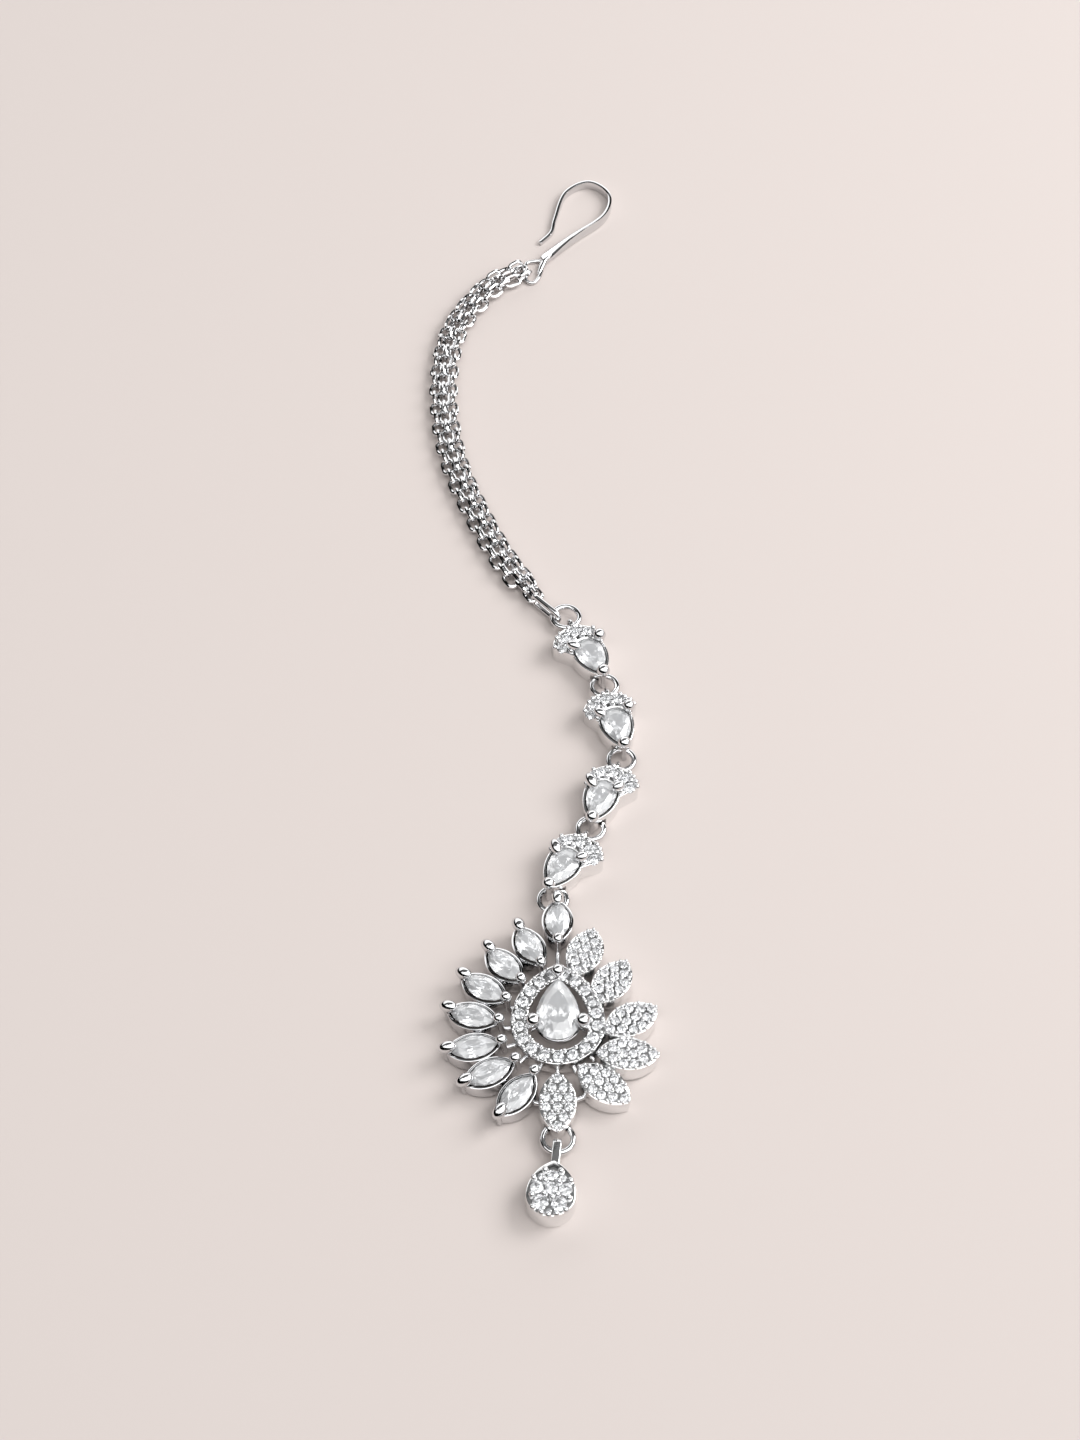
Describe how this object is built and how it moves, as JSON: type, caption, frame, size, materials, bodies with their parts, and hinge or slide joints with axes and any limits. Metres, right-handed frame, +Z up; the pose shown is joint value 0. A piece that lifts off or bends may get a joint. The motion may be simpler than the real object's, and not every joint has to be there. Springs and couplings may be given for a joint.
{
  "type": "maang tikka",
  "caption": "Head ornament: a wire hair hook, a flattened triple chain, pear stone links on jump rings, a petalled stone medallion with a halo, and a teardrop.",
  "frame": {"origin": "middle of the bounding box, on the surface the piece lies on", "axes": "+Y from the teardrop towards the hair hook, +Z up off the surface, stones facing up"},
  "size_m": [0.0276, 0.1612, 0.0049],
  "materials": {
    "metal": "polished rhodium plate",
    "stone": "polished, faceted, clear"
  },
  "bodies": {
    "root": {"hair_hook": "metal", "chain": "metal", "chain_ring": "metal", "link_ring_1": "metal", "link_ring_2": "metal", "link_ring_3": "metal", "link_ring_4": "metal", "pear_link_1": "metal", "pear_link_2": "metal", "pear_link_3": "metal", "pear_link_4": "metal", "pendant_ring": "metal", "medallion": "metal", "drop_ring": "metal", "drop": "metal", "pear_stone_1": "stone", "pear_stone_2": "stone", "pear_stone_3": "stone", "pear_stone_4": "stone", "centre_stone": "stone", "marquise_stone_1": "stone", "marquise_stone_2": "stone", "marquise_stone_3": "stone", "marquise_stone_4": "stone", "marquise_stone_5": "stone", "marquise_stone_6": "stone", "marquise_stone_7": "stone", "marquise_stone_8": "stone"}
  },
  "joints": []
}
